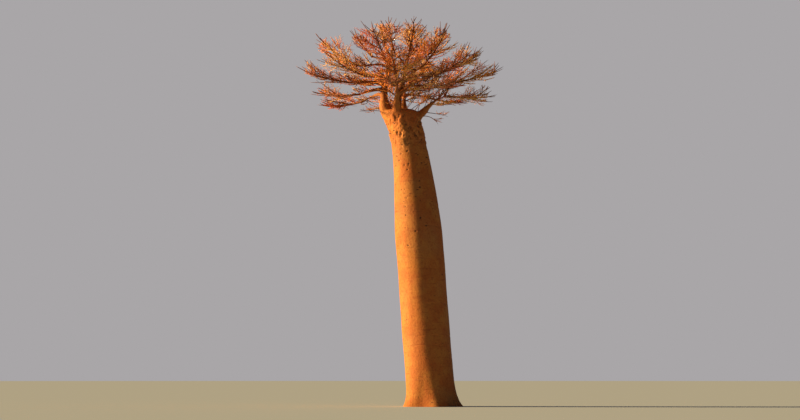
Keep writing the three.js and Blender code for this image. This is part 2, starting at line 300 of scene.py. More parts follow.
def best_fork(curve, least, most, bough):
    """The share of a limb, from least to most, where a bough bends least on its way."""
    best = (math.inf, least)
    share = least
    while share <= most:
        spot, along = curve.at(share)
        way = bough["tip"] - spot
        leaving = abs(turned(way, along) - math.radians(FORK_ANGLE))
        strain = way @ way * (1 + leaving + HOOK_COST * turned(way, bough["level"]) ** 2)
        best = min(best, (strain, share))
        share += FORK_SPACING / 3
    return best


for place in crown:
    if not place["limb"]:
        strains = [best_fork(limb["curve"], FORK_FROM, FORK_TO, place)[0] for limb in limbs]
        limbs[strains.index(min(strains))]["boughs"].append(place)

for limb in limbs:
    limb["boughs"].sort(key=lambda bough: bough["rise"])
    least = FORK_FROM
    for i, bough in enumerate(limb["boughs"]):
        most = FORK_TO - FORK_SPACING * (len(limb["boughs"]) - 1 - i)
        share = best_fork(limb["curve"], least, most, bough)[1]
        least = share + FORK_SPACING
        root, along = limb["curve"].at(share)
        way = np.linalg.norm(bough["tip"] - root)
        leaving = lerp(root, bough["tip"], FORK_REACH) + along * FORK_PULL * way
        arriving = bough["tip"] - bough["level"] * FORK_REACH * way
        bough["curve"] = Bend(root, leaving, arriving, bough["tip"])
        bough["girth"] = min(BOUGH_ROOT, BOUGH_SHARE * girth_at(limb, share))
        bough["taper"] = 1
        rings = ring_places(bough["curve"], lambda share: girth_at(bough, share), BOUGH_RINGS, BOUGH_SPREAD)
        add_tube(wood, rings, BOUGH_SIDES)

# Bark in relief: trunk, limbs and boughs are one grown body, so they are fused here, and their skin is
# then shaped. It has slow swellings, long upright folds, broken rings of creases as the trunk has from
# its growth, rough plates under the fork and round scars where twigs died off.
GRAIN_OF_MESH = 0.03  # between two points of the skin
FORK_SOFT = (16.2, 18.0)  # the heights between which the limbs run into the trunk
FORK_ROUNDS = 60  # of smoothing there
CROTCH_ROUNDS = 6  # and further up, where the boughs leave
TRUNK_FADES = (TRUNK_HEIGHT - 0.5, TRUNK_HEIGHT + 0.1)  # between these heights the trunk's relief ends
SWELL = 0.024
SWELL_SIZE = 1.7
FOLD = 0.011
FOLD_SIZE = 0.42
FOLD_STRETCH = 0.16  # how flat a fold's noise is upwards, so that a fold is long
CREASE = 0.013
CREASE_SPACING = 0.62
CREASE_WIDTH = 0.035
CREASE_SWAY = (0.22, 2.3)  # how far a crease wanders up and down, and over what length
CREASE_WAVE = (0.05, 0.5)
CREASE_BREAK = 0.9  # how long the bits are that it is broken into
CREASE_CUT = (0.25, 1.6)  # the breaks' noise is shifted and stretched by these
PLATE = 0.085
PLATE_SIZE = 0.3
PLATE_STRETCH = 0.8
PLATE_EDGE = 5  # the more, the steeper the plates' edges
CHIP = 0.6  # of a plate's height, that the small chips on it have
CHIP_SIZE = PLATE_SIZE / 3
PLATE_PATCH = 1.1  # how wide the patches of plates are
PATCH_CUT = (0.8, 1.2)
PLATES = (14.4, 15.9)  # between these heights the plates come in
GAP_DEPTH = 0.5  # of half a plate's height, past which a gap is darkened as painted shade
GAP_SHADE = 0.9  # how far the gaps between plates take on the scars' dark tone: painted shade in the recesses
LIMB_GRAIN = (0.02, 0.007)  # at the limbs' roots, and further up
LIMB_SMOOTHS = (17.0, 18.3)  # the heights between which the grain fades from one to the other
LIMB_GRAIN_SIZE = 0.22
LIMB_GRAIN_STRETCH = 1.6
LIMB_TONE_AND_SHADE = (17.0, 18.2)  # between these heights the bark turns to the limbs' darker brown, partly their own tone and partly painted shade
CUTS = (5.4, 10.6, 15.6)  # the skin is handed over in pieces, cut level at these heights
CUT_CORNERS = 9  # a face with as many corners is a cut's own and stays flat
SCARS = 170
SCARS_BETWEEN = (7.0, TRUNK_HEIGHT - 0.2)
SCAR_CROWDING = 0.55  # less than 1, so that they crowd towards the fork
SCAR_RADII = (0.028, 0.07)  # most are near the first
SCAR_ENDS = 4  # radii out from its middle, where nothing is left of it
SCAR_FLATNESS = 1.5  # its width against its height
SCAR_RAGGED = 0.45  # share by which its edge wanders
SCAR_GRAIN = 0.05
SCAR_DEPTH = 0.03

wood_mesh = bpy.data.meshes.new("wood")
bmesh.ops.recalc_face_normals(wood, faces=wood.faces)
wood.to_mesh(wood_mesh)
wood.free()
raw = bpy.data.objects.new("wood", wood_mesh)
bpy.context.collection.objects.link(raw)
fuse = raw.modifiers.new("fuse", "REMESH")
fuse.mode = "VOXEL"
fuse.voxel_size = GRAIN_OF_MESH
fused = bpy.data.meshes.new_from_object(raw.evaluated_get(bpy.context.evaluated_depsgraph_get()))
bpy.data.objects.remove(raw)
grown = bmesh.new()
grown.from_mesh(fused)
fork = [vert for vert in grown.verts if FORK_SOFT[0] < vert.co.z < FORK_SOFT[1]]
crotches = [vert for vert in grown.verts if vert.co.z > FORK_SOFT[0]]
every_way = {"use_axis_x": True, "use_axis_y": True, "use_axis_z": True}
for verts, rounds in ((fork, FORK_ROUNDS), (crotches, CROTCH_ROUNDS)):
    for _ in range(rounds):
        bmesh.ops.smooth_vert(grown, verts=verts, factor=0.5, **every_way)
grown.to_mesh(fused)
grown.free()

count = len(fused.vertices)
skin, normals = np.empty(3 * count), np.empty(3 * count)
fused.vertices.foreach_get("co", skin)
fused.vertices.foreach_get("normal", normals)
skin, normals = skin.reshape(-1, 3), normals.reshape(-1, 3)
height = skin[:, 2]


def rough(points, size, seed=0):
    """Smooth noise from -1 to 1 whose lumps are about as wide as size."""
    return np.array([noise.noise(point) for point in points / size + seed])


# Each noise has a seed of its own. It keeps mostly within half of its range, so where it has to make a
# share or a hard edge it is stretched and clipped. A stretch below 1 draws it out upwards.
on_trunk = 1 - smoothstep(height, *TRUNK_FADES)
plates = smoothstep(height, *PLATES)
lift = SWELL * rough(skin, SWELL_SIZE) * on_trunk
lift += FOLD * rough(skin * (1, 1, FOLD_STRETCH), FOLD_SIZE, 7) * on_trunk
sway = CREASE_SWAY[0] * rough(skin, CREASE_SWAY[1], 11)
wave = CREASE_WAVE[0] * rough(skin, CREASE_WAVE[1], 13)
level = (height + sway + wave) / CREASE_SPACING
off_crease = (level - np.floor(level) - 0.5) * CREASE_SPACING
broken = np.clip(CREASE_CUT[0] + CREASE_CUT[1] * rough(skin, CREASE_BREAK, 17), 0, 1)
lift -= CREASE * np.exp(-((off_crease / CREASE_WIDTH) ** 2)) * broken * on_trunk
chunks = np.clip(PLATE_EDGE * rough(skin * (1, 1, PLATE_STRETCH), PLATE_SIZE, 19), -1, 1)
chunks += CHIP * rough(skin, CHIP_SIZE, 29)
plates *= np.clip(PATCH_CUT[0] + PATCH_CUT[1] * rough(skin, PLATE_PATCH, 37), 0, 1)
lift += PLATE / 2 * chunks * plates * on_trunk
limb_grain = lerp(*LIMB_GRAIN, smoothstep(height, *LIMB_SMOOTHS))
limb_grain *= rough(skin * (1, 1, LIMB_GRAIN_STRETCH), LIMB_GRAIN_SIZE, 23)
lift += limb_grain * (1 - on_trunk)

# Painted shade: the gaps between plates are darkened with the scars' tone, so these values hold the real
# scars and that shade together.
scars_and_gap_shade = GAP_SHADE * np.clip(-chunks - GAP_DEPTH, 0, 1) * plates * on_trunk
for i in range(SCARS):
    up = lerp(*SCARS_BETWEEN, chance(i, 1) ** SCAR_CROWDING)
    turn = 2 * math.pi * chance(i, 2)
    spot = np.array(trunk_axis(up)) + trunk_radius(up) * np.array((math.cos(turn), math.sin(turn), 0))
    radius = lerp(*SCAR_RADII, chance(i, 3) ** 2)
    near = np.flatnonzero(np.linalg.norm(skin - spot, axis=1) < SCAR_ENDS * radius)
    away = np.linalg.norm((skin[near] - spot) * (1, 1, SCAR_FLATNESS), axis=1) / radius
    away *= 1 + SCAR_RAGGED * rough(skin[near], SCAR_GRAIN, 31)
    scars_and_gap_shade[near] = np.maximum(scars_and_gap_shade[near], np.exp(-(away**2)))
lift -= SCAR_DEPTH * scars_and_gap_shade
moved = skin + normals * (lift * (height > 0))[:, None]
fused.vertices.foreach_set("co", moved.ravel())
# The bark's colour takes two values from here: the scars together with the painted shade in the gaps
# between plates, and the limbs' darker brown, which is partly painted shade.
for name, values in (("scar_and_gap_shade", scars_and_gap_shade), ("limb", smoothstep(height, *LIMB_TONE_AND_SHADE))):
    fused.attributes.new(name, "FLOAT", "POINT").data.foreach_set("value", values.astype(np.float32))


def cut_out(name, low, high):
    """The piece of the fused wood between two heights, closed flat at each cut."""
    bm = bmesh.new()
    bm.from_mesh(fused)
    for cut, outwards in ((low, -1), (high, 1)):
        if cut is None:
            continue
        everything = bm.verts[:] + bm.edges[:] + bm.faces[:]
        plane = {"plane_co": (0, 0, cut), "plane_no": (0, 0, outwards)}
        made = bmesh.ops.bisect_plane(bm, geom=everything, dist=1e-5, clear_outer=True, **plane)
        rim = [part for part in made["geom_cut"] if isinstance(part, bmesh.types.BMEdge)]
        for edge in rim:
            edge.smooth = False
        bmesh.ops.contextual_create(bm, geom=rim)
    for face in bm.faces:
        face.smooth = len(face.verts) < CUT_CORNERS
    mesh = bpy.data.meshes.new(name)
    bm.to_mesh(mesh)
    bm.free()
    piece = bpy.data.objects.new(name, mesh)
    bpy.context.collection.objects.link(piece)
    return piece


foot_bark = cut_out("trunk_foot_bark", 0, CUTS[0])
column_bark = cut_out("trunk_column_bark", CUTS[0], CUTS[1])
neck_bark = cut_out("trunk_neck_bark", CUTS[1], CUTS[2])
limb_bark = cut_out("limb_and_bough_bark", CUTS[2], None)

# Living bark: smooth, thin and matt, grown and not split into ridges. Broad patches of tan and paler
# tan, a fine reddish mottle, faint darker level lines and small dark scars keep it from looking like
# paint, and the low sheen gives the long soft edge between its light and its shade. Painted shade is
# laid in as well: the scars' dark tone in the wrinkles and in the gaps between plates, and a darker
# brown up the limbs that is partly their own tone and partly the shade of the sprays above.
TAN = "#a85f22"
PALE_TAN = "#b1712e"
GREY_TAN = "#966f4a"
RED_TAN = "#8a421b"
# The limbs' darker brown: partly their own older bark, partly painted shade of the sprays above them.
LIMB_BROWN_AND_SHADE = "#74411f"
# The scars' own dark tone, also laid in as painted shade along the wrinkles and in the gaps between plates.
SCAR_AND_SHADE_BROWN = "#46230f"
PATCH_MM = 900  # broad patches of the two tans
BLOOM_MM = 1900  # greyish blooms
MOTTLE_MM = 130
SPECK_MM = 38
WRINKLE_MM = 95  # fine wrinkles; real ones are a third of that, too fine to show
LINE_MM = 160  # level lines
DOT_MM = 420  # between small dark dots
WARP_MM = 60  # over which dots and wrinkles are bent out of line
FINE_MM = 22  # the grain of the skin, coarser than life to show


def linear(colour):
    """An sRGB hex value as linear RGBA."""
    parts = [int(colour[i : i + 2], 16) / 255 for i in (1, 3, 5)]
    return (*(p / 12.92 if p <= 0.04045 else ((p + 0.055) / 1.055) ** 2.4 for p in parts), 1)


def add(material, kind, settings, links=()):
    """Adds a node to a material, with its settings and its links by socket."""
    made = material.node_tree.nodes.new("ShaderNode" + kind)
    for name, value in settings.items():
        if isinstance(name, str) and hasattr(made, name):
            setattr(made, name, value)
        else:
            made.inputs[name].default_value = value
    for socket, source in dict(links).items():
        material.node_tree.links.new(source, made.inputs[socket])
    return made


def new_material(name):
    """A material with only its shader, which is given back with it."""
    material = bpy.data.materials.new(name)
    material.use_nodes = True
    return material, material.node_tree.nodes["Principled BSDF"]


# Sockets go by number where their names repeat. In a Map Range 0 is the value, 1 and 2 are the range
# that it comes from and 3 and 4 the one that it goes to. In a Mix 0 is the share, and 6 and 7 are the
# two colours. A Mapping that scales X and Y less than Z draws a pattern out level, round the trunk.
bark, shader = new_material("living_baobab_bark")
spot = add(bark, "TexCoord", {}).outputs["Object"]
patches = add(bark, "TexNoise", {"Scale": 1000 / PATCH_MM, "Detail": 3}, {"Vector": spot})
blooms = add(bark, "TexNoise", {"Scale": 1000 / BLOOM_MM, "Detail": 5}, {"Vector": spot})
mottle = add(bark, "TexNoise", {"Scale": 1000 / MOTTLE_MM, "Detail": 5, "Roughness": 0.6}, {"Vector": spot})
specks = add(bark, "TexVoronoi", {"Scale": 1000 / SPECK_MM}, {"Vector": spot})
flat = add(bark, "Mapping", {"Scale": (0.16, 0.16, 1)}, {"Vector": spot})
lines = add(bark, "TexNoise", {"Scale": 1000 / LINE_MM, "Detail": 3}, {"Vector": flat.outputs[0]})
warp = add(bark, "TexNoise", {"Scale": 1000 / WARP_MM, "Detail": 2}, {"Vector": spot})
bent = {"operation": "MULTIPLY_ADD", 1: (0.08, 0.08, 0.08)}
shift = add(bark, "VectorMath", bent, {0: warp.outputs[1], 2: spot})
wide = add(bark, "Mapping", {"Scale": (0.7, 0.7, 1.3)}, {"Vector": shift.outputs[0]})
dots = add(bark, "TexVoronoi", {"Scale": 1000 / DOT_MM}, {"Vector": wide.outputs[0]})
long = add(bark, "Mapping", {"Scale": (0.4, 0.4, 1.6)}, {"Vector": shift.outputs[0]})
folds = {"Scale": 1000 / WRINKLE_MM, "feature": "DISTANCE_TO_EDGE"}
wrinkles = add(bark, "TexVoronoi", folds, {"Vector": long.outputs[0]})
fine = add(bark, "TexNoise", {"Scale": 1000 / FINE_MM, "Detail": 4}, {"Vector": spot})
scar_and_gap_shade = add(bark, "Attribute", {"attribute_name": "scar_and_gap_shade"})
limb = add(bark, "Attribute", {"attribute_name": "limb"})

patch = add(bark, "MapRange", {1: 0.42, 2: 0.6}, {0: patches.outputs[0]})
bloom = add(bark, "MapRange", {1: 0.5, 2: 0.68, 4: 0.35}, {0: blooms.outputs[0]})
red = add(bark, "MapRange", {1: 0.52, 2: 0.72, 4: 0.75}, {0: mottle.outputs[0]})
speck = add(bark, "MapRange", {4: 0.22}, {0: specks.outputs[1]})
line = add(bark, "MapRange", {1: 0.6, 2: 0.72, 4: 0.5}, {0: lines.outputs[0]})
# Painted shade: the wrinkles' grooves are darkened with the scars' tone.
wrinkle_shade = add(bark, "MapRange", {1: 0.04, 2: 0.0, 4: 0.16}, {0: wrinkles.outputs[0]})
cluster = add(bark, "MapRange", {1: 0.44, 2: 0.58, 4: 0.9}, {0: patches.outputs[0]})
dot = add(bark, "MapRange", {1: 0.14, 2: 0.05}, {0: dots.outputs[0], 4: cluster.outputs[0]})
# The real scars and the painted shade in the gaps between plates take the dark scar tone.
pit_and_gap_shade = add(bark, "MapRange", {1: 0.2, 2: 0.65}, {0: scar_and_gap_shade.outputs["Fac"]})
# Painted shade, in part: the bark darkens up the limbs, as though the sprays shaded them.
limb_tone_and_shade = add(bark, "MapRange", {4: 0.65}, {0: limb.outputs["Fac"]})
tone = add(bark, "Mix", {"data_type": "RGBA", 6: linear(TAN), 7: linear(PALE_TAN)}, {0: patch.outputs[0]})
laid_over = [(GREY_TAN, bloom), (RED_TAN, red), (RED_TAN, speck), (RED_TAN, line)]
laid_over += [(LIMB_BROWN_AND_SHADE, limb_tone_and_shade), (SCAR_AND_SHADE_BROWN, wrinkle_shade), (SCAR_AND_SHADE_BROWN, dot), (SCAR_AND_SHADE_BROWN, pit_and_gap_shade)]
for colour, share in laid_over:
    links = {0: share.outputs[0], 6: tone.outputs[2]}
    tone = add(bark, "Mix", {"data_type": "RGBA", 7: linear(colour)}, links)
matt = add(bark, "MapRange", {3: 0.68, 4: 0.88}, {0: mottle.outputs[0]})
groove = add(bark, "MapRange", {2: 0.12}, {0: wrinkles.outputs[0]})
skin_bump = add(bark, "Bump", {"Strength": 0.3, "Distance": 0.006}, {"Height": groove.outputs[0]})
coarse = {"Height": mottle.outputs[0], "Normal": skin_bump.outputs[0]}
coarse = add(bark, "Bump", {"Strength": 0.6, "Distance": 0.03}, coarse)
bump = {"Height": fine.outputs[0], "Normal": coarse.outputs[0]}
bump = add(bark, "Bump", {"Strength": 0.5, "Distance": 0.008}, bump)
bark.node_tree.links.new(tone.outputs[2], shader.inputs["Base Color"])
bark.node_tree.links.new(matt.outputs[0], shader.inputs["Roughness"])
bark.node_tree.links.new(bump.outputs[0], shader.inputs["Normal"])

boughs = [place for place in crown if not place["limb"]]
for piece in (foot_bark, column_bark, neck_bark, limb_bark):
    piece.data.materials.clear()
    piece.data.materials.append(bark)
    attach(piece, "root")
    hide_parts("trunk")
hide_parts(*(limb["limb"]["node"] for limb in limbs))
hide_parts(*(f"bough_{bough['name']}" for bough in boughs))

# Twigs: on from each bough's tip runs a stem, and twigs leave it left and right in a flat spray that
# curls up at its ends. Each round of twigs stands on all the thicker ones and is shorter. The first
# round is the solid model's own, and the finer ones are what the solid model leaves out.
STEM_TIP = 0.013
STEM_BEND = 0.6  # the share of its length over which a stem keeps to its place's level
STEM_LIFT = 3  # degrees over its place's rise at which it ends
TWIG_END = 0.45  # of a twig's root radius, at its tip
TWIG_GIRTH = 0.62  # of its parent's radius there, that its own is at most
TWIG_TAPER = 0.55  # how much shorter twigs get towards their parent's tip
TWIG_FAN = 50  # degrees that twigs stand above the spray's plane at most
TWIG_HANG = 14  # and below it
TWIG_STAGGER = 0.35  # of their spacing, that twigs stand off an even one
ANGLE_SWING = 0.2
LENGTH_SWING = 0.15
TWIG_SIZES = (1, 0.75, 0.5)  # shares of its length that a twig is tried at until it has room
SLIMNESS = 42  # a twig is about this many times as long as its root's radius or longer
# A round's rule: how many twigs a parent has or how far apart they stand, between which shares of it,
# their angle to it, their length as a share of its own and in metres at most, their root's least
# radius, how they curl up, and how much they stray, crook and get shorter towards its tip.
MAIN_TWIGS = {
    "twigs": 9,
    "from": 0.04,
    "to": 0.95,
    "angle": 43,
    "length": 0.74,
    "girth": 0.026,
    "curl": 0.35,
}
INNER_TWIGS = {  # on the outer half of a bough itself
    "twigs": 7,
    "from": 0.44,
    "to": 0.98,
    "angle": 50,
    "length": 0.58,
    "most": 2.1,
    "girth": 0.024,
    "curl": 0.3,
}
SIDE_TWIGS = {
    "apart": 0.15,
    "from": 0.05,
    "to": 0.8,
    "angle": 50,
    "length": 0.95,
    "most": 1.4,
    "girth": 0.021,
    "curl": 0.25,
    "stray": 2,
    "crook": 0.13,
    "taper": 0.8,
}
FINE_TWIGS = {
    "apart": 0.145,
    "from": 0.1,
    "to": 0.82,
    "angle": 45,
    "length": 0.6,
    "most": 0.5,
    "girth": 0.013,
    "curl": 0.25,
    "stray": 3,
    "crook": 0.18,
    "taper": 0.75,
}
BARE_FROM = 0.92  # side twigs end at this share of the reach, so that the tips beyond stand out bare
ROOM = 0.04  # between the spaces of two masses
WOOD_CHECKS = 12  # steps along a limb or bough at which twigs are kept off it
CLEARANCE = 0.0003  # that the solid model leaves between two pieces
MASS_SEED = 100
INNER_SEED = 3
PARENT_SEED = 31
ROUND_SEED = 7
UP = np.array((0.0, 0.0, 1.0))

checks = np.arange(WOOD_CHECKS + 1) / WOOD_CHECKS
wood_spots = np.concatenate([place["curve"].spots(checks) for place in crown])
wood_girths = np.concatenate([[girth_at(place, share) for share in checks] for place in crown])
headings = np.array([place["heading"] for place in crown])


def clear_of_limbs(point, radius):
    """Whether a ball at this point is clear of all limbs and boughs."""
    away = np.linalg.norm(wood_spots - point, axis=1)
    return bool((away >= wood_girths + radius + CLEARANCE).all())


def keeper(mine, share=1):
    """A test that a point is in a mass's own space, out to a share of its reach."""
    divides = np.delete(mine["heading"] - headings, crown.index(mine), axis=0)
    divides /= np.linalg.norm(divides, axis=1)[:, None]

    def keep(point, radius):
        out = point - CENTRE
        near = np.linalg.norm(out) + radius <= share * mine["reach"]
        apart = bool((divides @ out >= radius + ROOM / 2).all())
        return near and apart and clear_of_limbs(point, radius)

    return keep


def inner_keeper(mine):
    """A test that a point is within a mass's reach, where its own bough's twigs mix with others'."""

    def keep(point, radius):
        near = np.linalg.norm(point - CENTRE) + radius <= mine["reach"]
        return near and clear_of_limbs(point, radius)

    return keep


def twigs_on(parent, rule, seed, keep):
    """The twigs of one round on a parent, left and right of it in turn."""
    if "apart" in rule:
        twigs = max(1, round((rule["to"] - rule["from"]) * parent["length"] / rule["apart"]))
    else:
        twigs = rule["twigs"]
    grown = []
    for i in range(twigs):
        share = lerp(rule["from"], rule["to"], (i + 0.5 + TWIG_STAGGER * swing(seed, i, 4)) / twigs)
        root, along = parent["curve"].at(min(share, 1))
        aside = unit(np.cross(parent["flat"], along))
        fan = math.radians(max(TWIG_FAN * swing(seed, i, 5), -TWIG_HANG))
        side = 1 if i % 2 else -1
        sideways = aside * side * math.cos(fan) + parent["flat"] * math.sin(fan)
        stray = rule.get("stray", 1)
        angle = math.radians(rule["angle"] * (1 + stray * ANGLE_SWING * swing(seed, i, 6)))
        out = along * math.cos(angle) + sideways * math.sin(angle)
        length = min(parent["length"] * rule["length"], rule.get("most", math.inf))
        shorter = 1 - rule.get("taper", TWIG_TAPER) * share
        length *= shorter * (1 + stray * LENGTH_SWING * swing(seed, i, 7))
        girth = min(TWIG_GIRTH * lerp(parent["root"], parent["end"], share), length / SLIMNESS)
        girth = max(girth, rule["girth"])
        crook = np.array([swing(seed, i, axis) for axis in (8, 9, 10)]) * rule.get("crook", 0)
        bent = unit(out + (parent["away"] + UP) * rule["curl"])
        for size in TWIG_SIZES:
            middle = root + (out + crook) * size * length / 2
            tip = middle + bent * size * length / 2
            if keep(middle, girth) and keep(tip, girth):
                curve = Bend(root, middle, tip)
                twig = {"curve": curve, "length": size * length, "root": girth, "end": TWIG_END * girth}
                grown.append({**twig, "flat": parent["flat"], "away": parent["away"]})
                break
    return grown


stems, main_twigs, side_twigs, fine_twigs = [], [], [], []
sprays = 0
for i, place in enumerate(crown):
    keep = keeper(place)
    start = place["tip"] + place["level"] * CLEARANCE
    end = CENTRE + heading(place["turn"], place["rise"] + STEM_LIFT) * place["reach"]
    length = np.linalg.norm(end - start)
    middle = start + place["level"] * STEM_BEND * length
    flat = heading(place["turn"], place["rise"] + 90)
    stem = {"curve": Bend(start, middle, end), "length": length, "root": BOUGH_TIP, "end": STEM_TIP}
    stem |= {"flat": flat, "away": place["heading"], "spray": sprays}
    stems.append(stem)
    sprays += 1
    mains = twigs_on(stem, MAIN_TWIGS, MASS_SEED * (i + 1), keep)
    inner = {"curve": place["curve"], "length": place["curve"].length, "root": place["girth"]}
    inner |= {"end": BOUGH_TIP, "flat": flat, "away": place["heading"]}
    keep_inside = inner_keeper(place)
    inners = twigs_on(inner, INNER_TWIGS, MASS_SEED * (i + 1) + INNER_SEED, keep_inside)
    within = keeper(place, BARE_FROM)
    for parents, test in ((mains, within), (inners, keep_inside)):
        for parent in parents:
            parent["spray"] = sprays
            parent["test"] = test
            sprays += 1
    stem["test"] = within
    main_twigs += mains + inners
    for j, parent in enumerate([stem] + mains + inners):
        seed = MASS_SEED * (i + 1) + PARENT_SEED * j + ROUND_SEED
        sides = twigs_on(parent, SIDE_TWIGS, seed, parent["test"])
        for k, twig in enumerate([parent] + sides):
            fines = twigs_on(twig, FINE_TWIGS, seed + PARENT_SEED * k + ROUND_SEED, parent["test"])
            for small in [twig] + fines:
                small["spray"] = parent["spray"]
            fine_twigs += fines
        side_twigs += sides

# Lone shoots: thin ones that sprout from the neck, from the right arm's underside and from the fork,
# where they fill the space under the sprays. Each starts inside the wood that it grows out of, sets out
# along its way, bends over to its end and bears side and fine twigs on its outer part.
SHOOTS = [
    {"root": (-2.5, -0.1, 17.0), "way": (-0.8, -0.05, 0.12), "end": (-4.15, -0.2, 17.08)},
    {"root": (-0.5, -0.15, 16.75), "way": (0.6, -0.1, 0.05), "end": (0.45, -0.3, 16.2)},
    {"root": (-0.3, 0.1, 17.0), "way": (0.7, 0, -0.05), "end": (1.05, 0.1, 16.75)},
    {"root": (-1.2, 0.9, 16.6), "way": (0.1, 0.6, 0.05), "end": (-0.9, 2.1, 16.4)},
    {"root": (-1.5, -0.35, 16.95), "way": (0.2, -0.1, 0.6), "end": (-0.6, -0.5, 18.2)},
    {"root": (-2.0, 0.08, 17.6), "way": (0.6, -0.1, 0.15), "end": (-0.85, -0.25, 18.35)},
    {"root": (-0.45, -0.06, 16.95), "way": (0.05, -0.1, 0.5), "end": (0.1, -0.35, 18.1)},
    {"root": (-1.55, 0.4, 16.95), "way": (0.25, 0.15, 0.6), "end": (-0.5, 0.6, 18.3)},
    {"root": (-2.2, -0.6, 17.0), "way": (-0.15, -0.4, 0.3), "end": (-2.4, -1.5, 17.9)},
    {"root": (-1.0, -0.55, 16.9), "way": (0.25, -0.25, 0.45), "end": (-0.05, -1.0, 17.8)},
    {"root": (-2.0, 0.0, 17.35), "way": (0.45, -0.35, 0.3), "end": (-1.2, -0.9, 18.1)},
    {"root": (-2.65, -0.1, 17.55), "way": (0.3, -0.35, 0.3), "end": (-1.95, -0.9, 18.2)},
    {"root": (-0.75, -0.1, 16.8), "way": (-0.05, -0.35, 0.55), "end": (-0.3, -0.8, 17.9)},
    {"root": (-1.3, 0.1, 17.0), "way": (0.35, -0.05, 0.4), "end": (-0.2, 0.1, 17.75)},
]
SHOOT_GIRTH = 0.026
SHOOT_TWIGS = {**SIDE_TWIGS, "from": 0.4}
SHOOT_SEED = 5000
for i, shoot in enumerate(SHOOTS):
    root, way, end = (np.array(shoot[key]) for key in ("root", "way", "end"))
    stem = {"curve": Bend(root, root + way, end), "root": SHOOT_GIRTH, "end": STEM_TIP / 2, "flat": UP}
    stem |= {"length": stem["curve"].length, "away": unit(way), "spray": sprays}
    main_twigs.append(stem)
    sprays += 1
    for twig in twigs_on(stem, SHOOT_TWIGS, SHOOT_SEED + i, clear_of_limbs):
        fines = twigs_on(twig, FINE_TWIGS, SHOOT_SEED + 2 * i + 1, clear_of_limbs)
        for small in [twig] + fines:
            small["spray"] = stem["spray"]
        side_twigs.append(twig)
        fine_twigs += fines

# Side and fine twigs: thin young wood, each grown out of a thicker twig. Their bark is matt and redder
# than the trunk's. One spray is all of one tint, so the crown shows sprays of tan, orange, salmon, rust,
# umber and pale bark side by side, as the low light brings them out.
TINTS = {
    "tan_twigs": "#dca456",
    "orange_twigs": "#e6923e",
    "salmon_twigs": "#de9070",
    "rust_twigs": "#ba5c32",
    "umber_twigs": "#7c4a2c",
    "pale_twigs": "#e2b680",
}
TINT_SEED = 9
TWIG_ROUGHNESS = 0.8
SIDE_MESH = (4, 5)  # sides of a tube, and rings along it
FINE_MESH = (3, 3)
BLUNT = 0.93  # the share of a twig where its point begins
UPRIGHT = 0.9  # the upward share of a twig's way past which its rings are turned by X, not by Z


def tubes(twigs, sides, steps):
    """All of these twigs as one set of points and triangles: rings along each, closed in its tip."""
    poles = np.array([twig["curve"].poles for twig in twigs])
    roots = np.array([twig["root"] for twig in twigs])
    ends = np.array([twig["end"] for twig in twigs])
    t = np.append(np.linspace(0, BLUNT, steps), 1)[None, :, None]
    first = lerp(poles[:, None, 0], poles[:, None, 1], t)
    second = lerp(poles[:, None, 1], poles[:, None, 2], t)
    spots, ways = lerp(first, second, t), second - first
    ways /= np.linalg.norm(ways, axis=2)[..., None]
    steep = np.abs(ways[:, :1, 2:]) > UPRIGHT
    across = np.cross(ways, np.where(steep, (1.0, 0.0, 0.0), (0.0, 0.0, 1.0)))
    across /= np.linalg.norm(across, axis=2)[..., None]
    over = np.cross(ways, across)
    turns = 2 * math.pi * np.arange(sides) / sides
    ring = across[..., None, :] * np.cos(turns)[:, None] + over[..., None, :] * np.sin(turns)[:, None]
    girths = lerp(roots[:, None], ends[:, None], t[..., 0])
    rings = spots[:, :-1, None] + ring[:, :-1] * girths[:, :-1, None, None]
    points = np.concatenate([rings.reshape(len(twigs), -1, 3), spots[:, -1:]], axis=1)
    corner, after = np.arange(sides), (np.arange(sides) + 1) % sides
    faces = [(0, k + 1, k) for k in range(1, sides - 1)]
    for step in range(steps - 1):
        low, high = step * sides, (step + 1) * sides
        faces += list(zip(low + corner, low + after, high + after))
        faces += list(zip(low + corner, high + after, high + corner))
    last = (steps - 1) * sides
    faces += list(zip(last + corner, last + after, np.full(sides, steps * sides)))
    each = points.shape[1]
    faces = np.array(faces)[None] + each * np.arange(len(twigs))[:, None, None]
    return points.reshape(-1, 3), faces.reshape(-1, 3)


def joined(name, parts):
    """One piece of several sets of points and triangles."""
    starts = np.cumsum([0] + [len(points) for points, _ in parts])
    points = np.concatenate([points for points, _ in parts])
    faces = np.concatenate([faces + start for (_, faces), start in zip(parts, starts)])
    mesh = bpy.data.meshes.new(name)
    mesh.vertices.add(len(points))
    mesh.vertices.foreach_set("co", points.ravel())
    mesh.loops.add(faces.size)
    mesh.loops.foreach_set("vertex_index", faces.ravel())
    mesh.polygons.add(len(faces))
    mesh.polygons.foreach_set("loop_start", 3 * np.arange(len(faces)))
    mesh.polygons.foreach_set("use_smooth", np.ones(len(faces), bool))
    mesh.update(calc_edges=True)
    mesh.validate()
    piece = bpy.data.objects.new(name, mesh)
    bpy.context.collection.objects.link(piece)
    return piece


def of_tint(number, twigs):
    """The twigs whose spray has the tint of this number."""
    return [twig for twig in twigs if int(chance(twig["spray"], TINT_SEED) * len(TINTS)) == number]


masses = [f"twigs_{place['name']}" for place in crown]
for number, (name, tint) in enumerate(TINTS.items()):
    parts = [tubes(of_tint(number, side_twigs), *SIDE_MESH), tubes(of_tint(number, fine_twigs), *FINE_MESH)]
    piece = joined(name, parts)
    material, shader = new_material(name.replace("twigs", "twig_bark"))
    shader.inputs["Base Color"].default_value = linear(tint)
    shader.inputs["Roughness"].default_value = TWIG_ROUGHNESS
    piece.data.materials.append(material)
    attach(piece, "root")
    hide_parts(*masses)

